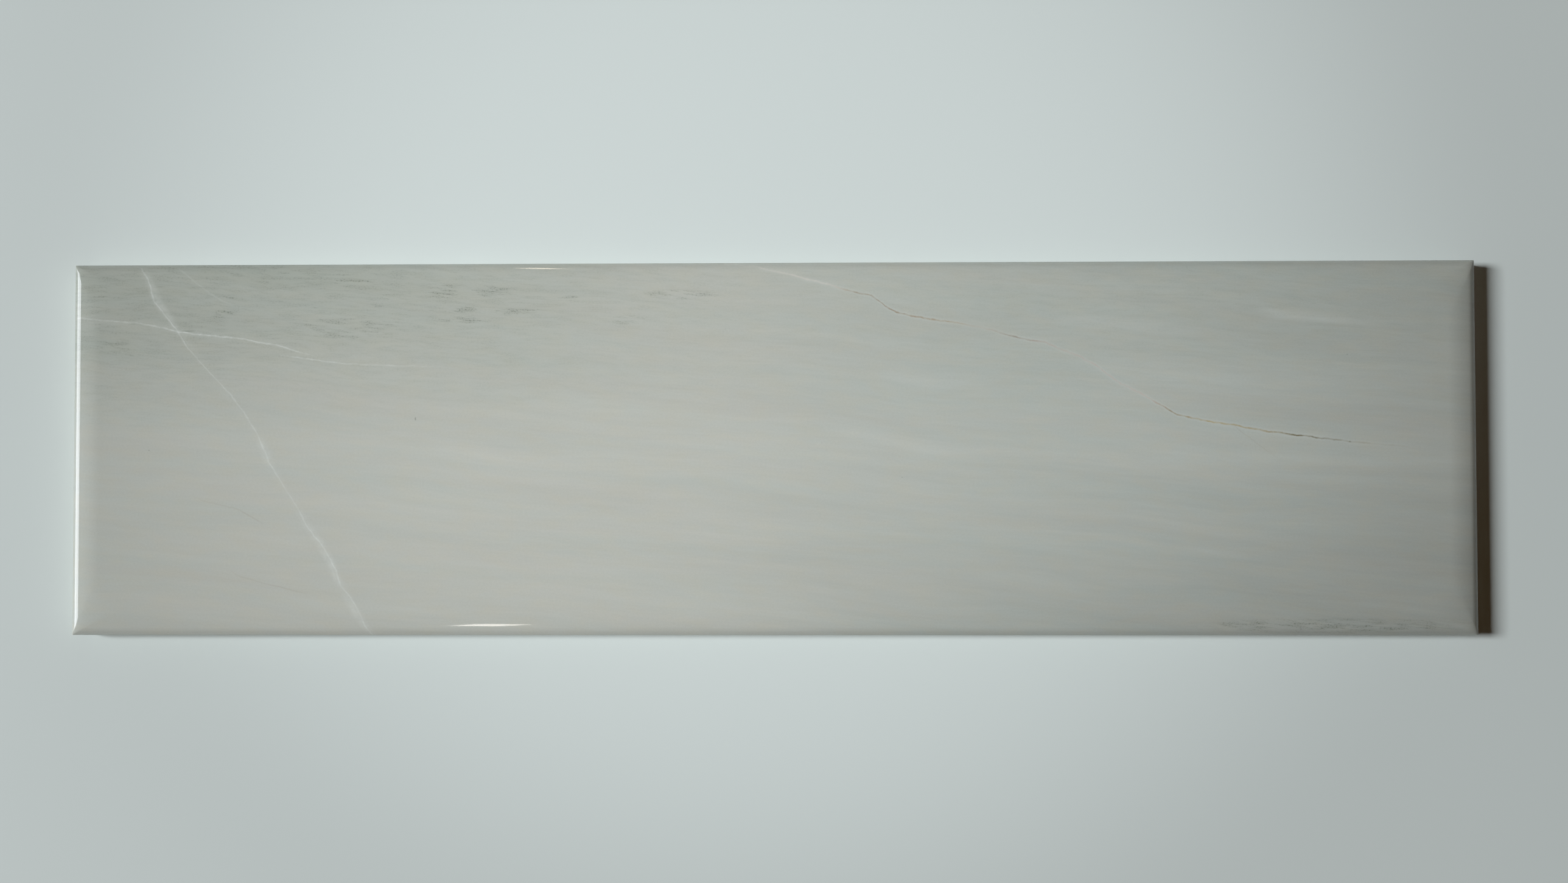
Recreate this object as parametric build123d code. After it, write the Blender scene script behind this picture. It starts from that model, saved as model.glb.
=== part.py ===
from build123d import *

import math
import os

# A glazed ceramic wall tile, pressed and fired as one piece, lying with its glazed face up.
# X runs along the tile, Y across it and Z up out of the glazed face.
# The origin is the centre of the back, in the plane that the tile is bedded on.
# All lengths are in millimetres and all angles in degrees.

# Outline
length = 299.5
width = 79.5
thickness = 8.0

# Cushioned edge of the glazed face: a long shallow roll, a turn that steepens, and a small arris
roll_width = 4.5
roll_drop = 0.7
edge_radius = 3.4
edge_steepness = 55.0
arris_radius = 0.4

# Side walls, which draw in a little from the arris down to the back
side_taper = 0.25
back_chamfer = 0.6

# Keyed back: shallow pockets that the bedding grips, between a rim and a grid of ribs
rim_width = 4.5
rib_width = 2.5
key_pitch = 24.0
key_depth = 0.7
key_draft = 35.0
key_corner_radius = 1.6


def tile_section(plane, span):
    """The tile cut across one direction: back, side walls, rolled edges and flat face."""
    roll_slope = 2 * math.degrees(math.atan2(roll_drop, roll_width))
    roll_radius = (roll_width**2 + roll_drop**2) / (2 * roll_drop)
    steep = math.sin(math.radians(edge_steepness))
    turn_width = edge_radius * (steep - math.sin(math.radians(roll_slope)))
    arris_width = arris_radius * (1 - steep)
    outside = span / 2
    flat_end = outside - arris_width - turn_width - roll_width
    foot = outside - side_taper
    with BuildSketch(plane) as section:
        with BuildLine():
            face = Line((0, thickness), (flat_end, thickness))
            roll = JernArc(face @ 1, face % 1, roll_radius, -roll_slope)
            edge = JernArc(roll @ 1, roll % 1, edge_radius, roll_slope - edge_steepness)
            arris = JernArc(edge @ 1, edge % 1, arris_radius, edge_steepness - 90)
            Polyline(arris @ 1, (foot, back_chamfer), (foot - back_chamfer, 0), (0, 0))
            mirror(about=Plane.YZ)
        make_face()
    return section.sketch


def tile_body():
    """Both sections run through each other, so the rolled edges meet in mitres at the corners."""
    along = extrude(tile_section(Plane.XZ, length), amount=width, both=True)
    across = extrude(tile_section(Plane.YZ, width), amount=length, both=True)
    return along & across


def pocket_grid(span, symmetry):
    """How many pockets fit along a side, as a multiple of the symmetry, and their pitch."""
    room = span - 2 * rim_width + rib_width
    count = symmetry * max(1, round(room / key_pitch / symmetry))
    return count, room / count


def key_pockets():
    """The pockets of the keyed back. Their number is even along the tile, with a rib at mid length."""
    columns, pitch_x = pocket_grid(length, 2)
    rows, pitch_y = pocket_grid(width, 1)
    mouth = RectangleRounded(pitch_x - rib_width, pitch_y - rib_width, key_corner_radius)
    pocket = extrude(mouth, amount=key_depth, taper=key_draft)
    return GridLocations(pitch_x, pitch_y, columns, rows) * pocket


wall_tile = tile_body() - key_pockets()

os.makedirs("parts", exist_ok=True)
export_step(wall_tile, "parts/wall_tile.step")
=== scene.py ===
import math

import bmesh
import bpy
from bpy.props import FloatProperty, FloatVectorProperty, PointerProperty
from mathutils import Euler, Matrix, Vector


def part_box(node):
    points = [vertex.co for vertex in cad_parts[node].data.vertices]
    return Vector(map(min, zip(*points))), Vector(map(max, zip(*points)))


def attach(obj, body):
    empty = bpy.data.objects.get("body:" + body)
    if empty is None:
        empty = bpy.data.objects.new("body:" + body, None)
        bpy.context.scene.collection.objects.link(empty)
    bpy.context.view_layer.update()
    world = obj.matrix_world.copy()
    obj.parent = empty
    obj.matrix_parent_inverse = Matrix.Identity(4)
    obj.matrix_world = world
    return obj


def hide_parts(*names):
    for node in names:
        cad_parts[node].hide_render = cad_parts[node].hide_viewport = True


bl_info = {
    "name": "Marble-look Wall Tile",
    "version": (1, 0, 0),
    "blender": (4, 5, 0),
    "location": "3D View > Sidebar > Wall Tile",
    "description": "A glazed ceramic wall tile with a cushioned edge, and a plain stage to show it on",
    "category": "Add Mesh",
}

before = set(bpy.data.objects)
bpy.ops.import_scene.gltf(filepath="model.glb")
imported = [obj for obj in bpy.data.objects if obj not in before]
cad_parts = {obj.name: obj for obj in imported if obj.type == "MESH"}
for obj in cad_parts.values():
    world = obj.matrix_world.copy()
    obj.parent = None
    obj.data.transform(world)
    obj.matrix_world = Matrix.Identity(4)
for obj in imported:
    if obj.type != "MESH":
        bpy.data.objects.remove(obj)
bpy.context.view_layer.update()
tile_low, tile_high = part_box("wall_tile")

MM = 0.001

# How many flat strips stand for each curve of the cushioned edge.
ROLL_STEPS = 18
TURN_STEPS = 16
ARRIS_STEPS = 8
CORNER_STEPS = 12

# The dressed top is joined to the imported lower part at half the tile's height.
LOWER_CUT = 4.0 * MM
UPPER_CUT = 4.2 * MM
# How far inside the roll the flat face begins, so that its shading stays flat.
FLAT_MARGIN = 0.4 * MM
# Edges that turn more than this are shaded as sharp.
SHARP_ANGLE = math.radians(30)
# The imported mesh's doubled points lie closer together than this.
MERGE_DISTANCE = 0.002 * MM
CUT_DISTANCE = 0.0005 * MM
QUARTER_TURN = math.radians(90)
# The tile's two materials, in the order in which they are added.
GLAZE_SLOT = 0
BODY_SLOT = 1

# The photograph's frame, and the camera that was worked out from the tile's four corners in it.
FRAME_WIDTH = 2576
SENSOR_WIDTH = 36.0
FOCAL_PIXELS = 3000
CAMERA_PLACE = (11.23 * MM, -9.69 * MM, 395.56 * MM)
CAMERA_TURN = (math.radians(1.641), math.radians(1.195), math.radians(-0.073))


def linear(hex_colour):
    """An sRGB hex colour such as B2B6AF, as linear red, green, blue and alpha."""
    parts = [int(hex_colour[i:i + 2], 16) / 255 for i in (0, 2, 4)]
    return [p / 12.92 if p <= 0.04045 else ((p + 0.055) / 1.055) ** 2.4 for p in parts] + [1.0]


def add_node(tree, kind, inputs=None, **settings):
    """Adds a node, sets its settings, and links or fills its inputs."""
    node = tree.nodes.new(kind)
    for name, value in settings.items():
        setattr(node, name, value)
    for key, value in (inputs or {}).items():
        if isinstance(value, bpy.types.NodeSocket):
            tree.links.new(value, node.inputs[key])
        else:
            node.inputs[key].default_value = value
    return node


def length_value(name, description, millimetres):
    return FloatProperty(
        name=name, description=description, default=millimetres * MM, min=0.0, unit="LENGTH", precision=5
    )


def colour_value(name, description, hex_colour):
    return FloatVectorProperty(
        name=name, description=description, default=linear(hex_colour), size=4, min=0.0, max=1.0,
        subtype="COLOR",
    )


def factor_value(name, description, default, highest=1.0):
    return FloatProperty(name=name, description=description, default=default, min=0.0, max=highest)


class TileShape(bpy.types.PropertyGroup):
    """Sizes of the tile's cushioned edge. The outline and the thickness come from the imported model."""

    roll_width: length_value("Roll width", "Width of the long shallow roll at the edge", 4.5)
    roll_drop: length_value("Roll drop", "How far the face falls across the roll", 0.7)
    edge_radius: length_value("Turn radius", "Radius of the turn outside the roll", 3.4)
    edge_steepness: FloatProperty(
        name="Turn steepness", description="Slope where the turn passes into the arris",
        default=math.radians(55), subtype="ANGLE", unit="ROTATION",
    )
    arris_radius: length_value(
        "Arris radius", "Radius of the arris between the turn and the side wall", 0.4
    )
    side_taper: length_value("Side taper", "How far the side walls draw in down to the back", 0.25)
    foot_height: length_value("Foot height", "Height of the chamfer at the foot of the side walls", 0.6)
    corner_radius: length_value("Corner radius", "Radius of the outline's corners", 0.15)
    corner_spread: factor_value(
        "Corner spread", "How fast the corners open out towards the flat face", 1.1, 3.0
    )


class GlazePrint(bpy.types.PropertyGroup):
    """Colours and sizes of the printed marble under the glaze, and of the bare fired body."""

    warm_stone: colour_value("Warm stone", "Beige side of the printed stone", "B6B9B3")
    cool_stone: colour_value("Cool stone", "Green-grey side of the printed stone", "AFB8B4")
    shade_stone: colour_value("Shaded stone", "Dark green-grey of the shaded zone", "8F9890")
    stain: colour_value("Stain", "Beige of the small stains", "B9B8A9")
    pale_streak: colour_value("Pale streak", "Bluish white of the soft streaks", "CBD3D0")
    white_vein: colour_value("White vein", "Colour of the fine white veins", "DBE3E1")
    fleck: colour_value("Fleck", "Dark green-grey of the short flecks", "6C756A")
    hairline: colour_value("Hairline", "Warm grey of the hairline cracks", "8B7A6A")
    body: colour_value("Fired body", "Pale cream of the bare fired body", "CBC9BC")
    body_shade: colour_value("Fired body shade", "Darker specks of the bare fired body", "ABA28F")
    streak_slope: FloatProperty(
        name="Streak slope", description="Slope of the streaks, which fall to the right",
        default=math.radians(-4.8), subtype="ANGLE", unit="ROTATION",
    )
    gloss_roughness: factor_value("Gloss roughness", "Roughness of the clear glaze", 0.05)


class StageSettings(bpy.types.PropertyGroup):
    """The floor, the lamps and the surrounding light."""

    floor: colour_value("Floor", "Colour of the pale floor", "CDD8D8")
    window_power: FloatProperty(
        name="Window power", description="Power of the large soft lamp on the left", default=100.0,
        min=0.0, unit="POWER",
    )
    pool_power: FloatProperty(
        name="Overhead power", description="Power of the soft pool of light from straight above",
        default=14.4, min=0.0, unit="POWER",
    )
    sky_left: factor_value("Room on the left", "Brightness of the surroundings on the left", 0.045, 4.0)
    sky_right: factor_value(
        "Room on the right", "Brightness of the surroundings on the right", 0.036, 4.0
    )
    sky_right_colour: colour_value("Room colour on the right", "Warm tint of the dim side", "FFBA66")


# The printed marble. Its places are in millimetres on the face, from the middle of the tile, and were
# chosen one by one. In a vein, each row is a place along it, a place across it, and its strength there.
STEEP_VEIN = (
    (-39.6, -84.9, 0.6), (-37.8, -86.2, 0.8), (-35.0, -87.3, 0.6), (-32.6, -88.5, 0.75),
    (-29.0, -91.3, 0.7), (-25.4, -92.5, 0.9), (-21.1, -94.9, 0.95), (-16.7, -98.5, 0.7),
    (-11.5, -101.3, 0.5), (-6.8, -104.4, 0.55), (-2.8, -106.8, 1.0), (2.8, -109.2, 0.65),
    (8.0, -112.4, 0.6), (11.5, -115.0, 0.6), (16.1, -119.5, 0.65), (21.9, -124.7, 0.6),
    (25.2, -126.7, 0.8), (28.2, -129.1, 0.85), (31.8, -131.9, 0.8), (34.8, -132.7, 0.8),
    (36.6, -133.5, 0.7), (39.1, -135.3, 0.5),
)
# Where the steep vein widens into a soft pale smear.
STEEP_HAZE = (
    (-39.6, -84.9, 0.3), (-36.0, -87.4, 0.9), (-33.5, -88.9, 0.8), (-30.0, -90.8, 0.35),
    (-27.5, -92.2, 0.9), (-24.0, -93.6, 1.0), (-20.0, -95.8, 0.7), (-16.5, -98.5, 0.5),
    (-12.0, -101.1, 0.1), (-4.0, -106.4, 0.25), (-2.0, -107.3, 0.9), (0.5, -108.2, 0.7),
    (3.0, -109.4, 0.15), (15.0, -118.5, 0.1), (25.2, -126.5, 0.3), (28.5, -128.9, 0.8),
    (32.0, -131.3, 0.9), (36.0, -132.9, 0.6), (39.0, -135.0, 0.2),
)
FLAT_VEIN = (
    (-148.8, 28.3, 0.3), (-142.6, 27.6, 0.45), (-136.2, 27.2, 0.45), (-131.5, 26.4, 0.5),
    (-126.7, 25.2, 0.8), (-122.7, 24.6, 0.7), (-118.0, 24.2, 0.75), (-112.4, 23.6, 0.7),
    (-109.2, 22.8, 0.6), (-105.6, 22.4, 0.6), (-102.1, 21.2, 0.55), (-98.9, 20.3, 0.3),
    (-96.0, 19.6, 0.0),
)
FLAT_VEIN_STRAND = (
    (-105.0, 20.2, 0.0), (-103.6, 19.9, 0.4), (-98.1, 19.2, 0.55), (-92.5, 18.4, 0.5),
    (-86.2, 18.0, 0.4), (-81.4, 17.8, 0.4), (-75.0, 17.7, 0.25), (-66.0, 17.2, 0.0),
)
FAINT_VEIN = (
    (-127.5, 39.2, 0.2), (-123.5, 36.2, 0.25), (-119.9, 33.4, 0.25), (-117.2, 31.8, 0.2),
    (-110.0, 28.6, 0.0),
)
# Two hairline cracks below the flat vein, and a faint branch of the gold vein.
HAIRLINES = (
    ((-124.5, -9.6, 0.0), (-119.6, -11.4, 0.5), (-114.5, -12.5, 0.7), (-111.8, -13.7, 1.0),
     (-109.2, -15.2, 0.8), (-107.5, -16.2, 0.0)),
    ((-116.5, -25.3, 0.0), (-112.7, -27.2, 0.7), (-107.6, -28.6, 0.6), (-104.3, -29.4, 1.0),
     (-100.2, -30.4, 0.7), (-97.5, -31.0, 0.0)),
    ((97.0, 5.4, 0.0), (99.0, 4.0, 0.9), (104.0, 0.2, 0.7), (109.0, -3.4, 0.0)),
)
# A hairline's half width, and how much it covers at most.
HAIRLINE_HALF_WIDTH = 0.26
HAIRLINE_STRENGTH = 0.15

GOLD_VEIN = (
    (-9.7, 39.5, 0.2), (-3.3, 39.0, 0.4), (0.0, 38.0, 0.5), (4.8, 37.0, 0.6), (8.7, 35.8, 0.6),
    (11.9, 35.1, 0.65), (15.9, 33.8, 0.75), (19.1, 33.0, 0.9), (21.5, 32.6, 0.8), (23.9, 31.0, 0.9),
    (24.6, 30.2, 0.9), (27.0, 28.9, 0.9), (30.2, 28.1, 1.0), (34.2, 27.4, 0.9), (39.8, 26.6, 0.7),
    (44.5, 25.7, 0.4), (47.7, 24.9, 0.6), (50.9, 23.9, 0.8), (54.9, 22.9, 0.8), (58.8, 22.3, 0.7),
    (62.0, 20.8, 0.6), (65.2, 19.7, 0.6), (69.2, 17.5, 0.6), (72.3, 15.1, 0.6), (74.8, 13.4, 0.6),
    (78.9, 11.4, 0.7), (82.8, 9.1, 0.8), (85.2, 7.6, 0.9), (86.8, 6.8, 0.9), (90.8, 6.0, 0.85),
    (94.0, 5.3, 0.9), (97.9, 4.8, 0.8), (101.9, 4.0, 0.75), (106.7, 3.2, 0.95), (110.6, 2.7, 1.0),
    (116.6, 2.0, 1.0), (117.4, 1.9, 0.65), (122.6, 1.2, 0.6), (126.6, 0.8, 0.5), (133.7, 0.2, 0.35),
    (136.9, -0.4, 0.0),
)
# The gold vein's pale border and its core: half width and strength.
GOLD_BORDER = (0.8, 0.16)
GOLD_CORE = (0.32, 0.8)
# The colour along the gold vein: a place along it, then the colour of its core.
GOLD_COLOURS = (
    (-9.7, "C9C9C2"), (12.0, "CECBC5"), (18.0, "98907F"), (24.0, "948A7A"), (31.0, "978B76"),
    (40.0, "A39A86"), (46.0, "AEA9A0"), (52.0, "8A8478"), (60.0, "AEA29A"), (70.0, "B3A8A2"),
    (80.0, "B8ADA6"), (85.0, "8C8068"), (94.0, "A3925F"), (104.0, "9A8C66"), (111.0, "6F684C"),
    (117.0, "67604A"), (122.0, "8F8C7C"), (137.0, "A5A59A"),
)

# The white veins: points, half width, strength, and whether the vein runs steeply across the tile.
WHITE_VEINS = (
    (STEEP_HAZE, 1.7, 0.24, True),
    (STEEP_VEIN, 0.32, 0.38, True),
    (FLAT_VEIN, 0.3, 0.52, False),
    (FLAT_VEIN, 1.2, 0.08, False),
    (FLAT_VEIN_STRAND, 0.28, 0.52, False),
    (FAINT_VEIN, 0.4, 0.4, False),
)

# A pale streak fades out over this many times its half width, and covers this much at most.
STREAK_SOFTNESS = 1.5
STREAK_STRENGTH = 0.4
# Each row is a pale streak: its points as above, and its half width.
PALE_STREAKS = (
    (((103.0, 29.2, 0.0), (107.0, 28.6, 0.55), (118.0, 27.6, 0.6), (127.0, 26.7, 0.35),
      (134.0, 26.0, 0.0)), 0.9),
    (((58.0, 28.2, 0.0), (66.0, 27.4, 0.4), (80.0, 25.8, 0.35), (96.0, 24.2, 0.0)), 1.3),
    (((62.0, 16.2, 0.0), (75.0, 15.0, 0.3), (99.0, 13.8, 0.35), (140.0, 11.5, 0.1)), 4.5),
    (((20.0, 16.3, 0.0), (29.0, 15.3, 0.3), (39.0, 14.0, 0.25), (50.0, 12.8, 0.0)), 1.8),
    (((10.0, 4.3, 0.0), (17.0, 3.2, 0.35), (31.8, 0.8, 0.35), (48.0, -0.9, 0.0)), 1.6),
    (((-76.0, 0.3, 0.0), (-62.0, -1.8, 0.14), (-45.0, -5.6, 0.14), (-30.0, -8.6, 0.0)), 3.0),
    (((70.0, -1.2, 0.0), (84.0, -1.6, 0.18), (130.0, -3.0, 0.12), (146.0, -4.0, 0.0)), 1.8),
    (((84.0, -20.6, 0.0), (91.6, -21.5, 0.22), (98.0, -22.6, 0.2), (106.0, -23.8, 0.0)), 0.7),
)

# How bright and how warm the print is along the tile, how dark its shaded zone is along the top edge, and
# how much darker the face is made towards the bottom edge. The brightness along the tile is partly the
# print's own and partly
# painted sheen: the face is painted lighter at the left and darker at the right, where the gloss would
# show the bright side of the room.
PRINT_AND_SHEEN_BRIGHTNESS = (
    (-150.0, 1.04), (-100.0, 1.07), (-40.0, 1.075), (-10.0, 1.07), (20.0, 1.03), (70.0, 0.98),
    (110.0, 0.93), (150.0, 0.89),
)
STONE_WARMTH = (
    (-150.0, 0.45), (-100.0, 0.58), (-30.0, 0.64), (20.0, 0.42), (80.0, 0.2), (150.0, 0.35),
)
TOP_SHADE = (
    (-150.0, 0.55), (-110.0, 0.47), (-60.0, 0.37), (-20.0, 0.2), (20.0, 0.15), (60.0, 0.22),
    (90.0, 0.22), (150.0, 0.12),
)
BOTTOM_SHADE = ((-150.0, 0.0), (-40.0, 0.02), (20.0, 0.08), (80.0, 0.13), (150.0, 0.13))

# How much each layer of streaks, and the print grain, changes the stone's brightness.
HAZE_DEPTH = 0.1
STREAK_DEPTH = 0.08
FIBRE_DEPTH = 0.045
GRAIN_DEPTH = 0.06

# How far the streaks wander along and across them, in millimetres, and the size of one such bend.
WANDER_ALONG = 5.0
WANDER_ACROSS = 3.4
WANDER_LENGTH = 46 * MM
WANDER_HEIGHT = 15 * MM
# How far a vein strays from its drawn line and over what length, in millimetres.
VEIN_JITTER = 0.5
JITTER_LENGTH = 2.2

# How deep the glaze's slight unevenness is.
GLAZE_RELIEF = 0.01 * MM

# The bare body: the size of its soft clouds, and the size and relief of its pressed clay granules.
CLAY_CLOUD_SIZE = 9 * MM
GRANULE_SIZE = 0.45 * MM
GRANULE_RELIEF = 0.08 * MM

# How thickly the flecks lie over the shaded zone.
DUST_SHARE = 0.7
# Soft patches that hold short dark flecks: centre, half length, half height and strength.
FLECK_PATCHES = (
    (-89.0, 35.5, 7.0, 1.1, 0.9), (-116.7, 28.9, 3.5, 1.3, 0.9), (-115.6, 32.6, 2.0, 0.7, 0.7),
    (-143.4, 32.6, 2.4, 0.8, 0.7), (-140.6, 22.2, 5.5, 1.9, 0.9), (-90.0, 25.8, 15.0, 3.2, 0.6),
    (-84.7, 30.8, 3.0, 1.2, 0.7), (-95.5, 29.8, 3.5, 0.8, 0.7), (-98.0, 26.8, 4.5, 0.8, 0.8),
    (-65.0, 29.7, 3.5, 0.7, 0.9), (-81.8, 32.5, 2.0, 0.8, 0.7), (-136.0, 20.4, 2.0, 0.8, 0.6),
    (-69.7, 33.6, 5.0, 2.0, 0.9), (-59.4, 33.6, 6.5, 1.5, 0.85), (-55.0, 29.4, 8.5, 0.9, 0.85),
    (-65.0, 27.5, 7.0, 0.9, 0.8), (-42.7, 32.1, 3.0, 0.8, 0.7), (-18.9, 32.8, 9.5, 1.3, 0.75),
    (-30.0, 27.3, 4.5, 1.3, 0.6), (119.0, -37.6, 32.0, 1.7, 1.0),
)

# Single dark marks: centre, half length, half height and strength.
SPECKS = (
    (-75.5, 6.4, 0.16, 0.42, 0.5), (-132.7, -0.2, 0.2, 0.16, 0.35), (28.2, -6.2, 0.16, 0.14, 0.3),
    (122.2, 19.6, 0.16, 0.16, 0.35), (122.6, 1.2, 0.3, 0.2, 0.6), (-124.5, 25.3, 1.8, 0.16, 0.45),
)


def fill_curve(node, points, straight):
    """Puts points of place and value, both from 0 to 1, into a curve node."""
    curve = node.mapping.curves[0]
    last = len(points) - 1
    for index, spot in enumerate(points):
        if index in (0, last):
            curve.points[0 if index == 0 else -1].location = spot
        else:
            curve.points.new(*spot)
    if straight:
        for handle in curve.points:
            handle.handle_type = "VECTOR"
    node.mapping.update()


def vein_mask(tree, along, across, points, half_width):
    """How much a vein covers, 0 to 1, along a line drawn through given points."""
    start, end = points[0][0], points[-1][0]
    low = min(p[1] for p in points)
    high = max(p[1] for p in points)
    place = add_node(tree, "ShaderNodeMapRange", {
        "Value": along, "From Min": start, "From Max": end, "To Min": 0.0, "To Max": 1.0,
    })
    line = add_node(tree, "ShaderNodeFloatCurve", {"Value": place.outputs[0]})
    strength = add_node(tree, "ShaderNodeFloatCurve", {"Value": place.outputs[0]})
    spots = [(p[0] - start) / (end - start) for p in points]
    fill_curve(line, [(spot, (p[1] - low) / (high - low)) for spot, p in zip(spots, points)], True)
    fill_curve(strength, [(spot, p[2]) for spot, p in zip(spots, points)], True)
    centre = add_node(tree, "ShaderNodeMapRange", {
        "Value": line.outputs[0], "To Min": low, "To Max": high,
    })
    apart = add_node(tree, "ShaderNodeMath", {0: across, 1: centre.outputs[0]}, operation="SUBTRACT")
    distance = add_node(tree, "ShaderNodeMath", {0: apart.outputs[0]}, operation="ABSOLUTE")
    cover = add_node(tree, "ShaderNodeMapRange", {
        "Value": distance.outputs[0], "From Min": 0.0, "From Max": half_width,
        "To Min": 1.0, "To Max": 0.0,
    }, interpolation_type="SMOOTHSTEP")
    inside = add_node(tree, "ShaderNodeMath", {
        0: along, 1: (start + end) / 2, 2: (end - start) / 2,
    }, operation="COMPARE")
    shown = add_node(tree, "ShaderNodeMath", {
        0: cover.outputs[0], 1: strength.outputs[0]}, operation="MULTIPLY")
    return add_node(tree, "ShaderNodeMath", {
        0: shown.outputs[0], 1: inside.outputs[0]}, operation="MULTIPLY").outputs[0]


def patch_mask(tree, place, centre_x, centre_y, half_length, half_height, strength):
    """A soft oval patch, 0 to 1, round a point of the face."""
    from_centre = add_node(tree, "ShaderNodeVectorMath", {
        0: place, 1: (centre_x, centre_y, 0)}, operation="SUBTRACT")
    in_sizes = add_node(tree, "ShaderNodeVectorMath", {
        0: from_centre.outputs[0], 1: (1 / half_length, 1 / half_height, 0)}, operation="MULTIPLY")
    reach = add_node(tree, "ShaderNodeVectorMath", {0: in_sizes.outputs[0]}, operation="LENGTH")
    return add_node(tree, "ShaderNodeMapRange", {
        "Value": reach.outputs["Value"], "From Min": 0.4, "From Max": 1.2,
        "To Min": strength, "To Max": 0.0,
    }, interpolation_type="SMOOTHSTEP").outputs[0]


def stretched_noise(tree, coordinates, length, height, slope, detail, seed):
    """Cloudy noise drawn out along the streaks. length and height are one cloud's, in millimetres."""
    mapping = add_node(tree, "ShaderNodeMapping", {
        "Vector": coordinates, "Location": (seed * MM, seed * MM, 0), "Rotation": (0, 0, slope),
        "Scale": (length * MM, height * MM, 1),
    }, vector_type="TEXTURE")
    return add_node(tree, "ShaderNodeTexNoise", {
        "Vector": mapping.outputs[0], "Scale": 1.0, "Detail": detail, "Roughness": 0.55,
    }, noise_dimensions="2D")


def face_curve(tree, along, points):
    """A smooth value along the tile from given points of place and value."""
    start, end = points[0][0], points[-1][0]
    high = max(p[1] for p in points)
    place = add_node(tree, "ShaderNodeMapRange", {
        "Value": along, "From Min": start, "From Max": end, "To Min": 0.0, "To Max": 1.0,
    })
    node = add_node(tree, "ShaderNodeFloatCurve", {"Value": place.outputs[0]})
    fill_curve(node, [((spot - start) / (end - start), value / high) for spot, value in points], False)
    return add_node(tree, "ShaderNodeMath", {
        0: node.outputs[0], 1: high}, operation="MULTIPLY").outputs[0]


def empty_material(name):
    """A new material without nodes, and its node tree."""
    material = bpy.data.materials.new(name)
    material.use_nodes = True
    material.node_tree.nodes.clear()
    return material, material.node_tree


def print_places(tree, slope):
    """The places that the print is drawn by, by name: in metres and in millimetres, the ones that
    wander with the streaks, and the ones with a vein's small jitter."""
    metres = add_node(tree, "ShaderNodeTexCoord").outputs["Object"]
    wander = add_node(tree, "ShaderNodeMapping", {
        "Vector": metres, "Rotation": (0, 0, slope), "Scale": (WANDER_LENGTH, WANDER_HEIGHT, 1),
    }, vector_type="TEXTURE")
    drift = add_node(tree, "ShaderNodeTexNoise", {
        "Vector": wander.outputs[0], "Scale": 1.0, "Detail": 1.0}, noise_dimensions="2D")
    flowing = add_node(tree, "ShaderNodeVectorMath", {
        0: drift.outputs["Color"], 1: (WANDER_ALONG * MM, WANDER_ACROSS * MM, 0), 2: metres,
    }, operation="MULTIPLY_ADD").outputs[0]
    # The drift's mean is half its reach, so it is taken off again here.
    flowing_mm = add_node(tree, "ShaderNodeVectorMath", {
        0: flowing, "Scale": 1 / MM}, operation="SCALE").outputs[0]
    flow_parts = add_node(tree, "ShaderNodeSeparateXYZ", {0: flowing_mm})
    flow_y = add_node(tree, "ShaderNodeMath", {
        0: flow_parts.outputs[1], 1: WANDER_ACROSS / 2}, operation="SUBTRACT").outputs[0]

    place = add_node(tree, "ShaderNodeVectorMath", {
        0: metres, "Scale": 1 / MM}, operation="SCALE").outputs[0]
    plain = add_node(tree, "ShaderNodeSeparateXYZ", {0: place})
    rough = add_node(tree, "ShaderNodeTexNoise", {
        "Vector": place, "Scale": 1 / JITTER_LENGTH, "Detail": 3.0, "Roughness": 0.6,
    }, noise_dimensions="2D")
    jitter = add_node(tree, "ShaderNodeVectorMath", {
        0: rough.outputs["Color"], 1: (0.5, 0.5, 0.5)}, operation="SUBTRACT")
    jittered = add_node(tree, "ShaderNodeVectorMath", {
        0: jitter.outputs[0], 1: (VEIN_JITTER, VEIN_JITTER, 0), 2: place}, operation="MULTIPLY_ADD")
    vein = add_node(tree, "ShaderNodeSeparateXYZ", {0: jittered.outputs[0]})
    return {
        "metres": metres, "flowing": flowing, "flow_y": flow_y, "place": place,
        "x": plain.outputs[0], "y": plain.outputs[1],
        "vein_x": vein.outputs[0], "vein_y": vein.outputs[1],
    }


def top_shade(tree, at, haze):
    """How deep the shaded zone along the top edge is. It is deepest at the left."""
    reach = add_node(tree, "ShaderNodeMapRange", {
        "Value": at["y"], "From Min": -4.0, "From Max": 34.0}, interpolation_type="SMOOTHSTEP").outputs[0]
    depth = face_curve(tree, at["x"], TOP_SHADE)
    cloud = add_node(tree, "ShaderNodeMath", {
        0: haze, 1: 1.2, 2: 0.4}, operation="MULTIPLY_ADD").outputs[0]
    shade = add_node(tree, "ShaderNodeMath", {0: reach, 1: depth}, operation="MULTIPLY").outputs[0]
    return add_node(tree, "ShaderNodeMath", {
        0: shade, 1: cloud}, operation="MULTIPLY", use_clamp=True).outputs[0]


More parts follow.
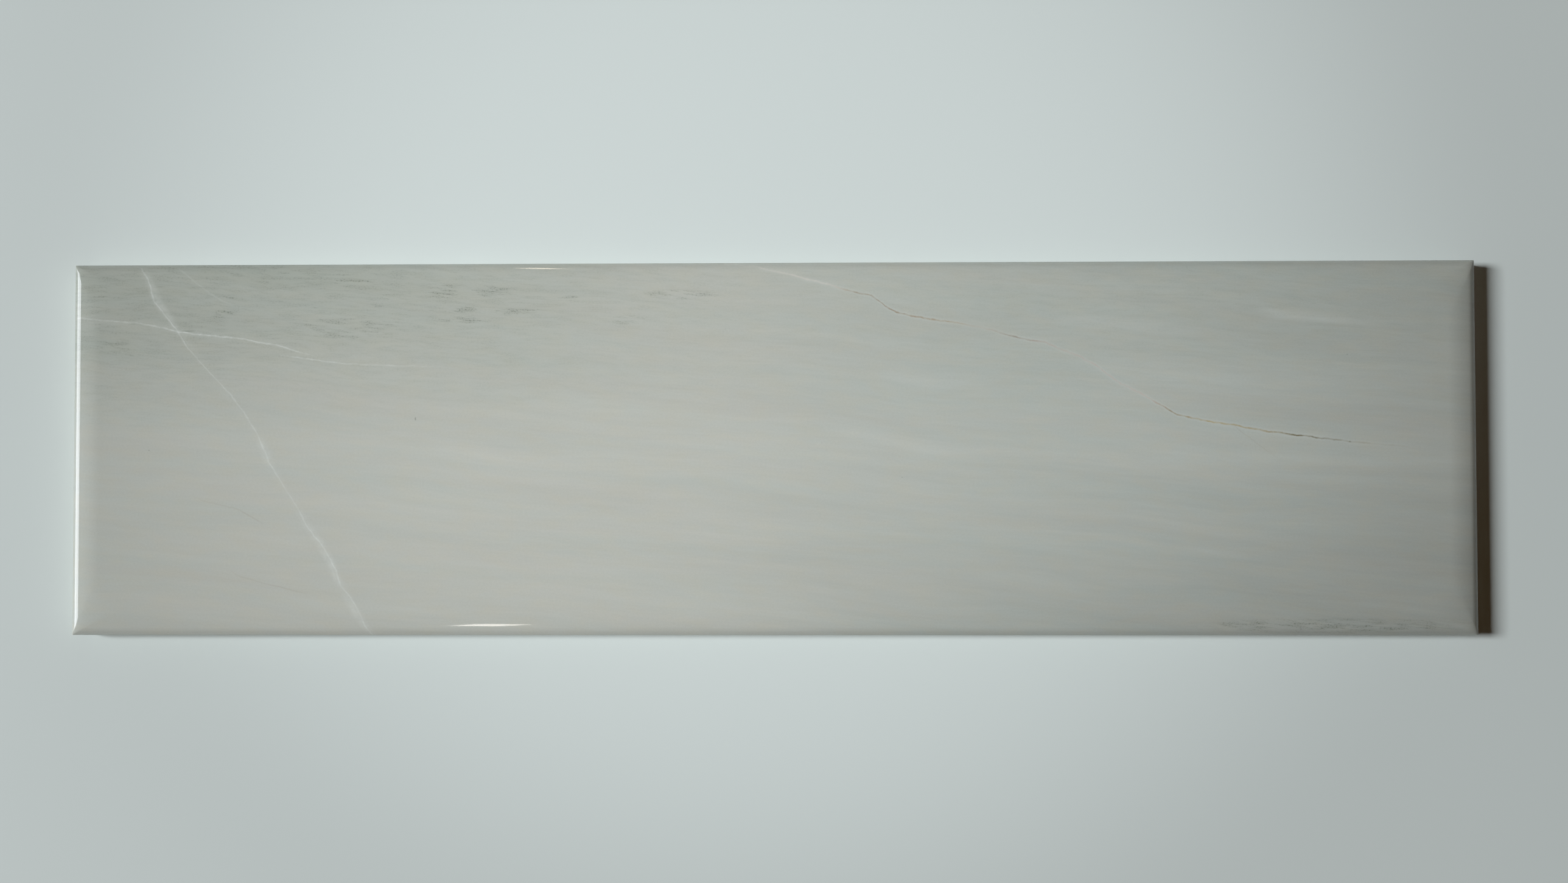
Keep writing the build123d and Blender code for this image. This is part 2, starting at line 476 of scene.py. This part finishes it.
def stone_colour(tree, at, colours, slope, shade):
    """The plain stone: warm and cool stretches, small beige stains, the shaded zone and pale streaks."""
    tone = stretched_noise(tree, at["flowing"], 70, 6, slope, 2, 7).outputs["Fac"]
    warmth = face_curve(tree, at["x"], STONE_WARMTH)
    warm_by_tone = add_node(tree, "ShaderNodeMath", {
        0: tone, 1: 0.9, 2: -0.45}, operation="MULTIPLY_ADD").outputs[0]
    warm = add_node(tree, "ShaderNodeMath", {
        0: warmth, 1: warm_by_tone}, operation="ADD", use_clamp=True).outputs[0]
    colour = add_node(tree, "ShaderNodeMix", {
        "Factor": warm, 6: colours.cool_stone, 7: colours.warm_stone}, data_type="RGBA").outputs[2]

    blotch = stretched_noise(tree, at["flowing"], 7, 2.6, slope, 2, 91).outputs["Fac"]
    stain = add_node(tree, "ShaderNodeMapRange", {
        "Value": blotch, "From Min": 0.38, "From Max": 0.72, "To Min": 0.0, "To Max": 0.24}).outputs[0]
    colour = add_node(tree, "ShaderNodeMix", {
        "Factor": stain, 6: colour, 7: colours.stain}, data_type="RGBA").outputs[2]
    colour = add_node(tree, "ShaderNodeMix", {
        "Factor": shade, 6: colour, 7: colours.shade_stone}, data_type="RGBA").outputs[2]

    for points, half_width in PALE_STREAKS:
        cover = vein_mask(tree, at["x"], at["flow_y"], points, half_width * STREAK_SOFTNESS)
        cover = add_node(tree, "ShaderNodeMath", {
            0: cover, 1: STREAK_STRENGTH}, operation="MULTIPLY").outputs[0]
        colour = add_node(tree, "ShaderNodeMix", {
            "Factor": cover, 6: colour, 7: colours.pale_streak}, data_type="RGBA").outputs[2]
    return colour


def stone_and_sheen_brightness(tree, at, slope, haze):
    """The streaks, from broad haze down to print grain, with the stone's slow change along the tile,
    which is partly painted sheen, and a darkening towards the bottom edge.
    """
    streak = stretched_noise(tree, at["flowing"], 38, 2.4, slope, 3, 57).outputs["Fac"]
    fibre = stretched_noise(tree, at["flowing"], 9, 0.7, slope, 2, 83).outputs["Fac"]
    layers = None
    for noise, depth in ((haze, HAZE_DEPTH), (streak, STREAK_DEPTH), (fibre, FIBRE_DEPTH)):
        part = add_node(tree, "ShaderNodeMath", {
            0: noise, 1: depth, 2: -depth / 2}, operation="MULTIPLY_ADD").outputs[0]
        if layers is not None:
            part = add_node(tree, "ShaderNodeMath", {0: layers, 1: part}, operation="ADD").outputs[0]
        layers = part
    # The streaks grow stronger to the right.
    growth = add_node(tree, "ShaderNodeMapRange", {
        "Value": at["x"], "From Min": -150.0, "From Max": 150.0, "To Min": 0.75, "To Max": 1.35,
    }).outputs[0]
    layers = add_node(tree, "ShaderNodeMath", {0: layers, 1: growth}, operation="MULTIPLY").outputs[0]

    # The real print dots are about 0.1 mm and are drawn coarser, because finer ones don't show.
    grain = stretched_noise(tree, at["metres"], 0.5, 0.4, 0, 1, 11).outputs["Fac"]
    grain = add_node(tree, "ShaderNodeMath", {
        0: grain, 1: GRAIN_DEPTH, 2: -GRAIN_DEPTH / 2}, operation="MULTIPLY_ADD").outputs[0]
    layers = add_node(tree, "ShaderNodeMath", {0: layers, 1: grain}, operation="ADD").outputs[0]

    # The face is made darker towards the bottom edge, more so at the right.
    reach = add_node(tree, "ShaderNodeMapRange", {
        "Value": at["y"], "From Min": 2.0, "From Max": -36.0}, interpolation_type="SMOOTHSTEP").outputs[0]
    depth = face_curve(tree, at["x"], BOTTOM_SHADE)
    bottom = add_node(tree, "ShaderNodeMath", {0: reach, 1: depth}, operation="MULTIPLY").outputs[0]
    bottom = add_node(tree, "ShaderNodeMath", {0: 1.0, 1: bottom}, operation="SUBTRACT").outputs[0]
    # Painted sheen in part: the face is painted lighter at the left and darker at the right, where the
    # gloss would show the bright side of the room.
    print_and_sheen_level = face_curve(tree, at["x"], PRINT_AND_SHEEN_BRIGHTNESS)
    level = add_node(tree, "ShaderNodeMath", {0: layers, 1: 1.0}, operation="ADD").outputs[0]
    level = add_node(tree, "ShaderNodeMath", {0: level, 1: print_and_sheen_level}, operation="MULTIPLY").outputs[0]
    return add_node(tree, "ShaderNodeMath", {0: level, 1: bottom}, operation="MULTIPLY").outputs[0]


def dark_flecks(tree, at, slope, shade):
    """How much the dark flecks cover: fine grains of dark print that gather in faint clouds and lie
    thinly over the shaded zone, and a few single specks."""
    zone = add_node(tree, "ShaderNodeMath", {0: shade, 1: DUST_SHARE}, operation="MULTIPLY").outputs[0]
    for patch in FLECK_PATCHES:
        mask = patch_mask(tree, at["place"], *patch)
        zone = add_node(tree, "ShaderNodeMath", {0: zone, 1: mask}, operation="MAXIMUM").outputs[0]
    fleck_cloud = stretched_noise(tree, at["flowing"], 5.5, 0.8, slope * 0.8, 2, 23).outputs["Fac"]
    cloud = add_node(tree, "ShaderNodeMapRange", {
        "Value": fleck_cloud, "From Min": 0.38, "From Max": 0.7,
    }, interpolation_type="SMOOTHSTEP").outputs[0]
    print_dots = stretched_noise(tree, at["metres"], 0.44, 0.28, 0, 1, 67).outputs["Fac"]
    dots = add_node(tree, "ShaderNodeMapRange", {
        "Value": print_dots, "From Min": 0.48, "From Max": 0.72, "To Min": 0.26, "To Max": 0.75,
    }, interpolation_type="SMOOTHSTEP").outputs[0]
    flecks = add_node(tree, "ShaderNodeMath", {0: zone, 1: cloud}, operation="MULTIPLY").outputs[0]
    flecks = add_node(tree, "ShaderNodeMath", {0: flecks, 1: dots}, operation="MULTIPLY").outputs[0]
    for mark in SPECKS:
        speck = patch_mask(tree, at["place"], *mark)
        flecks = add_node(tree, "ShaderNodeMath", {0: flecks, 1: speck}, operation="MAXIMUM").outputs[0]
    return flecks


def add_veins(tree, at, colours, colour, broken):
    """Hairline cracks in a warm grey, then the white veins, a little broken up."""
    for points in HAIRLINES:
        cover = vein_mask(tree, at["vein_x"], at["vein_y"], points, HAIRLINE_HALF_WIDTH)
        cover = add_node(tree, "ShaderNodeMath", {
            0: cover, 1: HAIRLINE_STRENGTH}, operation="MULTIPLY").outputs[0]
        colour = add_node(tree, "ShaderNodeMix", {
            "Factor": cover, 6: colour, 7: colours.hairline}, data_type="RGBA").outputs[2]
    for points, half_width, strength, steep in WHITE_VEINS:
        along, across = ("vein_y", "vein_x") if steep else ("vein_x", "vein_y")
        cover = vein_mask(tree, at[along], at[across], points, half_width)
        cover = add_node(tree, "ShaderNodeMath", {0: cover, 1: strength}, operation="MULTIPLY").outputs[0]
        cover = add_node(tree, "ShaderNodeMath", {0: cover, 1: broken}, operation="MULTIPLY").outputs[0]
        colour = add_node(tree, "ShaderNodeMix", {
            "Factor": cover, 6: colour, 7: colours.white_vein}, data_type="RGBA").outputs[2]
    return colour


def gold_core_colour(tree, at):
    """The colour of the gold vein's core, which changes along it."""
    start, end = GOLD_VEIN[0][0], GOLD_VEIN[-1][0]
    share = add_node(tree, "ShaderNodeMapRange", {
        "Value": at["vein_x"], "From Min": start, "From Max": end}).outputs[0]
    ramp = add_node(tree, "ShaderNodeValToRGB", {"Fac": share})
    stops = ramp.color_ramp.elements
    last = len(GOLD_COLOURS) - 1
    for index, (spot, hex_colour) in enumerate(GOLD_COLOURS):
        where = (spot - start) / (end - start)
        if index in (0, last):
            stop = stops[0 if index == 0 else len(stops) - 1]
        else:
            stop = stops.new(where)
        stop.position = where
        stop.color = linear(hex_colour)
    return ramp.outputs[0]


def add_gold_vein(tree, at, colours, colour, broken):
    """The gold vein: a pale border, then a brownish core."""
    half_width, strength = GOLD_BORDER
    border = vein_mask(tree, at["vein_x"], at["vein_y"], GOLD_VEIN, half_width)
    border = add_node(tree, "ShaderNodeMath", {0: border, 1: strength}, operation="MULTIPLY").outputs[0]
    colour = add_node(tree, "ShaderNodeMix", {
        "Factor": border, 6: colour, 7: colours.white_vein}, data_type="RGBA").outputs[2]
    half_width, strength = GOLD_CORE
    core = vein_mask(tree, at["vein_x"], at["vein_y"], GOLD_VEIN, half_width)
    core = add_node(tree, "ShaderNodeMath", {0: core, 1: broken}, operation="MULTIPLY").outputs[0]
    core = add_node(tree, "ShaderNodeMath", {0: core, 1: strength}, operation="MULTIPLY").outputs[0]
    return add_node(tree, "ShaderNodeMix", {
        "Factor": core, 6: colour, 7: gold_core_colour(tree, at)}, data_type="RGBA").outputs[2]


def make_glaze(colours):
    """Clear gloss glaze fired over a printed marble pattern: pale grey-beige stone with soft streaks
    that fall a little to the right, white veins, a brownish gold vein and short green-grey flecks. The
    gloss gives crisp highlights on the rolled edges and a faint sheen of the room on the flat face."""
    material, tree = empty_material("Clear gloss glaze over marble print")
    slope = colours.streak_slope
    at = print_places(tree, slope)
    haze = stretched_noise(tree, at["flowing"], 95, 9, slope, 2, 31).outputs["Fac"]
    shade = top_shade(tree, at, haze)
    colour = stone_colour(tree, at, colours, slope, shade)
    level = stone_and_sheen_brightness(tree, at, slope, haze)
    colour = add_node(tree, "ShaderNodeVectorMath", {
        0: colour, "Scale": level}, operation="SCALE").outputs[0]
    flecks = dark_flecks(tree, at, slope, shade)
    colour = add_node(tree, "ShaderNodeMix", {
        "Factor": flecks, 6: colour, 7: colours.fleck}, data_type="RGBA").outputs[2]

    patchy = stretched_noise(tree, at["metres"], 1.7, 1.7, 0, 2, 41).outputs["Fac"]
    broken = add_node(tree, "ShaderNodeMapRange", {
        "Value": patchy, "From Min": 0.35, "From Max": 0.65, "To Min": 0.55, "To Max": 1.15}).outputs[0]
    colour = add_veins(tree, at, colours, colour, broken)
    colour = add_gold_vein(tree, at, colours, colour, broken)

    # A fired glaze is very slightly uneven over a centimetre or so.
    uneven = stretched_noise(tree, at["metres"], 12, 12, 0, 1, 5).outputs["Fac"]
    bump = add_node(tree, "ShaderNodeBump", {
        "Height": uneven, "Strength": 0.15, "Distance": GLAZE_RELIEF})
    shader = add_node(tree, "ShaderNodeBsdfPrincipled", {
        "Base Color": colour, "Roughness": colours.gloss_roughness, "IOR": 1.5,
        "Normal": bump.outputs[0],
    })
    add_node(tree, "ShaderNodeOutputMaterial", {"Surface": shader.outputs[0]})
    return material


def make_body(colours):
    """Bare fired tile body: a dry-pressed white-firing clay, pale cream, matt and slightly grainy,
    with small darker specks and pores."""
    material, tree = empty_material("Bare fired clay body")
    metres = add_node(tree, "ShaderNodeTexCoord").outputs["Object"]
    cloud = add_node(tree, "ShaderNodeTexNoise", {
        "Vector": metres, "Scale": 1 / CLAY_CLOUD_SIZE, "Detail": 3.0}).outputs["Fac"]
    granules = add_node(tree, "ShaderNodeTexNoise", {
        "Vector": metres, "Scale": 1 / GRANULE_SIZE, "Detail": 2.0, "Roughness": 0.7}).outputs["Fac"]
    specks = add_node(tree, "ShaderNodeMapRange", {
        "Value": granules, "From Min": 0.56, "From Max": 0.74, "To Min": 0.0, "To Max": 0.8}).outputs[0]
    mottled = add_node(tree, "ShaderNodeMapRange", {
        "Value": cloud, "From Min": 0.35, "From Max": 0.65, "To Min": 0.0, "To Max": 0.35}).outputs[0]
    shade = add_node(tree, "ShaderNodeMath", {
        0: specks, 1: mottled}, operation="ADD", use_clamp=True).outputs[0]
    colour = add_node(tree, "ShaderNodeMix", {
        "Factor": shade, 6: colours.body, 7: colours.body_shade}, data_type="RGBA").outputs[2]
    bump = add_node(tree, "ShaderNodeBump", {
        "Height": granules, "Strength": 0.5, "Distance": GRANULE_RELIEF})
    shader = add_node(tree, "ShaderNodeBsdfPrincipled", {
        "Base Color": colour, "Roughness": 0.85, "IOR": 1.5, "Normal": bump.outputs[0]})
    add_node(tree, "ShaderNodeOutputMaterial", {"Surface": shader.outputs[0]})
    return material


def edge_profile(shape, top):
    """The cushioned edge in section, from the flat face outwards. Each point is a distance in from the
    outline, a height, and whether the strip that ends there is glazed."""
    slope = 2 * math.atan2(shape.roll_drop, shape.roll_width)
    roll_radius = (shape.roll_width**2 + shape.roll_drop**2) / (2 * shape.roll_drop)
    steep = shape.edge_steepness
    arris_width = shape.arris_radius * (1 - math.sin(steep))
    turn_width = shape.edge_radius * (math.sin(steep) - math.sin(slope))
    flat_end = arris_width + turn_width + shape.roll_width
    points = [(flat_end + FLAT_MARGIN, top, True), (flat_end, top, True)]
    for radius, from_angle, to_angle, steps in (
        (roll_radius, 0, slope, ROLL_STEPS),
        (shape.edge_radius, slope, steep, TURN_STEPS),
        (shape.arris_radius, steep, QUARTER_TURN, ARRIS_STEPS),
    ):
        start, height = points[-1][:2]
        for step in range(1, steps + 1):
            angle = from_angle + (to_angle - from_angle) * step / steps
            out = radius * (math.sin(angle) - math.sin(from_angle))
            fall = radius * (math.cos(from_angle) - math.cos(angle))
            points.append((start - out, height - fall, True))
    wall_top = points[-1][1]
    drawn_in = shape.side_taper * (wall_top - UPPER_CUT) / (wall_top - shape.foot_height)
    points.append((drawn_in, UPPER_CUT, False))
    return points


def cut_lower_part(mesh):
    """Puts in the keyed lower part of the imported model, and gives back its open rim."""
    mesh.from_mesh(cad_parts["wall_tile"].data)
    bmesh.ops.remove_doubles(mesh, verts=mesh.verts, dist=MERGE_DISTANCE)
    bmesh.ops.bisect_plane(
        mesh, geom=mesh.verts[:] + mesh.edges[:] + mesh.faces[:], dist=CUT_DISTANCE,
        plane_co=(0, 0, LOWER_CUT), plane_no=(0, 0, 1), clear_outer=True,
    )
    for face in mesh.faces:
        face.material_index = BODY_SLOT
    return [e for e in mesh.edges if e.is_boundary]


def add_flat_face(mesh, half_x, half_y, height, radius):
    """Adds the flat face with its round corners, and gives back the edges round it."""
    made = bmesh.ops.create_grid(mesh, x_segments=1, y_segments=1, size=1.0)
    bmesh.ops.scale(mesh, vec=(half_x, half_y, 1), verts=made["verts"])
    bmesh.ops.translate(mesh, vec=(0, 0, height), verts=made["verts"])
    bmesh.ops.bevel(
        mesh, geom=made["verts"], offset=radius, offset_type="OFFSET", segments=CORNER_STEPS,
        profile=0.5, affect="VERTICES", material=-1,
    )
    face = max(mesh.faces, key=lambda f: f.calc_center_median().z)
    face.material_index = GLAZE_SLOT
    return list(face.edges)


def add_strip(mesh, ring, old, new, height, slot):
    """Draws one strip of the edge out of a ring of edges, and gives back the strip's outer ring. old and
    new are rounded rectangles: half length, half width and corner radius. Each point keeps its share of
    the corner's quarter turn."""
    made = bmesh.ops.extrude_edge_only(mesh, edges=ring)
    for vert in (g for g in made["geom"] if isinstance(g, bmesh.types.BMVert)):
        angle = math.atan2(abs(vert.co.y) - (old[1] - old[2]), abs(vert.co.x) - (old[0] - old[2]))
        step = min(max(round(angle / QUARTER_TURN * CORNER_STEPS), 0), CORNER_STEPS)
        angle = QUARTER_TURN * step / CORNER_STEPS
        vert.co.x = math.copysign(new[0] - new[2] + new[2] * math.cos(angle), vert.co.x)
        vert.co.y = math.copysign(new[1] - new[2] + new[2] * math.sin(angle), vert.co.y)
        vert.co.z = height
    for face in (g for g in made["geom"] if isinstance(g, bmesh.types.BMFace)):
        face.material_index = slot
    return [g for g in made["geom"] if isinstance(g, bmesh.types.BMEdge) and g.is_boundary]


def build_tile_mesh(shape):
    """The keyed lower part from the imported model, and above it the face with its cushioned edge."""
    half_x = (tile_high.x - tile_low.x) / 2
    half_y = (tile_high.y - tile_low.y) / 2

    def outline_at(distance):
        radius = shape.corner_radius + shape.corner_spread * distance
        return half_x - distance, half_y - distance, radius

    profile = edge_profile(shape, tile_high.z)
    mesh = bmesh.new()
    lower_rim = cut_lower_part(mesh)
    distance, height = profile[0][:2]
    outline = outline_at(distance)
    ring = add_flat_face(mesh, outline[0], outline[1], height, outline[2])
    for distance, height, glazed in profile[1:]:
        slot = GLAZE_SLOT if glazed else BODY_SLOT
        ring = add_strip(mesh, ring, outline, outline_at(distance), height, slot)
        outline = outline_at(distance)
    joined = bmesh.ops.bridge_loops(mesh, edges=lower_rim + ring)
    for face in joined["faces"]:
        face.material_index = BODY_SLOT
    bmesh.ops.recalc_face_normals(mesh, faces=mesh.faces)
    for face in mesh.faces:
        face.smooth = True
    for edge in mesh.edges:
        edge.smooth = edge.calc_face_angle(math.pi) < SHARP_ANGLE
    data = bpy.data.meshes.new("tile")
    mesh.to_mesh(data)
    mesh.free()
    return data


class WALLTILE_OT_tile(bpy.types.Operator):
    """Builds the glazed tile in place of the plain solid, with its marble print and bare back"""

    bl_idname = "walltile.add_tile"
    bl_label = "Wall tile"

    def execute(self, context):
        settings = context.scene.walltile_print
        shape = context.scene.walltile_shape
        data = build_tile_mesh(shape)
        data.materials.append(make_glaze(settings))
        data.materials.append(make_body(settings))
        tile = bpy.data.objects.new("tile", data)
        context.scene.collection.objects.link(tile)
        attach(tile, "root")
        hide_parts("wall_tile")
        return {"FINISHED"}


# Lamps: name, elevation, azimuth, distance, width, height, power, colour, whether it lights matt
# surfaces, and whether it shows in the gloss. Angles are in degrees and lengths in metres. Azimuth 0 is
# due left and turns towards the top edge. The window's power is the one in the settings.
LAMPS = (
    ("window light", 45.2, 5, 3.2, 0.6, 1.0, None, "FFFFFF", True, False),
    ("window sheen", 14.5, 3, 1.5, 0.95, 0.8, 17.5, "F4F9FF", False, True),
    ("top edge glint", 25, 77.6, 1.2, 0.024, 0.24, 0.17, "FFF0D8", False, True),
    ("bottom edge glint", 52.6, -68.8, 1.53, 0.056, 0.1, 0.19, "FFF9F0", False, True),
)

# The overhead pool of light is brightest at the middle of the tile and fades out at its ends.
POOL_HEIGHT = 1.2
POOL_REACH = 0.165
POOL_SHIFT = 0.035
POOL_SOURCE_RADIUS = 0.01

# The floor lies just below the tile's back, so that the two faces don't flicker through each other.
FLOOR_HALF_SIZE = 5.0
FLOOR_GAP = 0.02 * MM


def add_floor(scene, settings):
    """A painted board: smooth pale paint, matt with a little sheen, which holds the tile's shadow."""
    paint, tree = empty_material("Pale painted board")
    shader = add_node(tree, "ShaderNodeBsdfPrincipled", {
        "Base Color": settings.floor, "Roughness": 0.7, "IOR": 1.5})
    add_node(tree, "ShaderNodeOutputMaterial", {"Surface": shader.outputs[0]})
    grid = bmesh.new()
    bmesh.ops.create_grid(grid, x_segments=1, y_segments=1, size=FLOOR_HALF_SIZE)
    bmesh.ops.translate(grid, vec=(0, 0, tile_low.z - FLOOR_GAP), verts=grid.verts)
    data = bpy.data.meshes.new("floor")
    grid.to_mesh(data)
    grid.free()
    data.materials.append(paint)
    floor = bpy.data.objects.new("floor", data)
    scene.collection.objects.link(floor)


def add_lamps(scene, settings):
    """The lamps of the table above, and the soft pool of light from straight above."""
    for name, elevation, azimuth, distance, width, height, power, colour, lights, shines in LAMPS:
        lamp = bpy.data.lights.new(name, "AREA")
        lamp.shape = "RECTANGLE"
        lamp.size = width
        lamp.size_y = height
        lamp.energy = settings.window_power if power is None else power
        lamp.color = linear(colour)[:3]
        holder = bpy.data.objects.new(name, lamp)
        rise, turn = math.radians(elevation), math.radians(azimuth)
        towards = Vector((
            -math.cos(rise) * math.cos(turn), math.cos(rise) * math.sin(turn), math.sin(rise)
        ))
        holder.location = towards * distance
        holder.rotation_euler = towards.to_track_quat("Z", "Y").to_euler()
        holder.visible_diffuse = lights
        holder.visible_glossy = shines
        scene.collection.objects.link(holder)

    pool = bpy.data.lights.new("overhead pool", "SPOT")
    pool.energy = settings.pool_power
    pool.spot_size = 2 * math.atan(POOL_REACH / POOL_HEIGHT)
    pool.spot_blend = 1.0
    pool.shadow_soft_size = POOL_SOURCE_RADIUS
    above = bpy.data.objects.new("overhead pool", pool)
    above.location = (0, POOL_SHIFT, POOL_HEIGHT)
    above.visible_glossy = False
    scene.collection.objects.link(above)


def add_room_light(scene, settings):
    """The dim light of the surroundings, neutral on the left and warm on the right."""
    world = bpy.data.worlds.new("Room light")
    scene.world = world
    world.use_nodes = True
    tree = world.node_tree
    tree.nodes.clear()
    direction = add_node(tree, "ShaderNodeTexCoord").outputs["Generated"]
    parts = add_node(tree, "ShaderNodeSeparateXYZ", {0: direction})
    strength = add_node(tree, "ShaderNodeMapRange", {
        "Value": parts.outputs[0], "From Min": -1.0, "From Max": 1.0,
        "To Min": settings.sky_left, "To Max": settings.sky_right}).outputs[0]
    rightness = add_node(tree, "ShaderNodeMapRange", {
        "Value": parts.outputs[0], "From Min": -0.8, "From Max": 0.0}).outputs[0]
    tint = add_node(tree, "ShaderNodeMix", {
        "Factor": rightness, 6: linear("FFFFFF"), 7: settings.sky_right_colour,
    }, data_type="RGBA").outputs[2]
    background = add_node(tree, "ShaderNodeBackground", {"Color": tint, "Strength": strength})
    add_node(tree, "ShaderNodeOutputWorld", {"Surface": background.outputs[0]})


def add_camera(scene):
    """The camera of the photograph, which looks almost straight down."""
    camera = bpy.data.cameras.new("camera")
    camera.sensor_fit = "HORIZONTAL"
    camera.sensor_width = SENSOR_WIDTH
    camera.lens = FOCAL_PIXELS * SENSOR_WIDTH / FRAME_WIDTH
    camera.clip_start = 0.01
    camera.clip_end = 50.0
    viewer = bpy.data.objects.new("camera", camera)
    viewer.location = CAMERA_PLACE
    viewer.rotation_euler = Euler(CAMERA_TURN, "XYZ")
    scene.collection.objects.link(viewer)
    scene.camera = viewer


class WALLTILE_OT_stage(bpy.types.Operator):
    """Adds the pale floor, the soft lamps, the surrounding light and the camera"""

    bl_idname = "walltile.add_stage"
    bl_label = "Stage"

    def execute(self, context):
        scene = context.scene
        settings = scene.walltile_stage
        add_floor(scene, settings)
        add_lamps(scene, settings)
        add_room_light(scene, settings)
        add_camera(scene)
        scene.view_settings.view_transform = "Standard"
        return {"FINISHED"}


class WALLTILE_PT_panel(bpy.types.Panel):
    """Lists the tile's operators and values"""

    bl_idname = "WALLTILE_PT_panel"
    bl_label = "Wall Tile"
    bl_space_type = "VIEW_3D"
    bl_region_type = "UI"
    bl_category = "Wall Tile"

    def draw(self, context):
        layout = self.layout
        layout.operator(WALLTILE_OT_tile.bl_idname)
        layout.operator(WALLTILE_OT_stage.bl_idname)
        for group in (
            context.scene.walltile_shape, context.scene.walltile_print, context.scene.walltile_stage
        ):
            box = layout.box()
            for name in group.__annotations__:
                box.prop(group, name)


CLASSES = (TileShape, GlazePrint, StageSettings, WALLTILE_OT_tile, WALLTILE_OT_stage, WALLTILE_PT_panel)


def register():
    for each in CLASSES:
        bpy.utils.register_class(each)
    bpy.types.Scene.walltile_shape = PointerProperty(type=TileShape)
    bpy.types.Scene.walltile_print = PointerProperty(type=GlazePrint)
    bpy.types.Scene.walltile_stage = PointerProperty(type=StageSettings)


def unregister():
    del bpy.types.Scene.walltile_stage
    del bpy.types.Scene.walltile_print
    del bpy.types.Scene.walltile_shape
    for each in reversed(CLASSES):
        bpy.utils.unregister_class(each)


def main():
    register()
    bpy.ops.walltile.add_tile()
    bpy.ops.walltile.add_stage()
    bpy.context.view_layer.update()


if __name__ == "__main__":
    main()
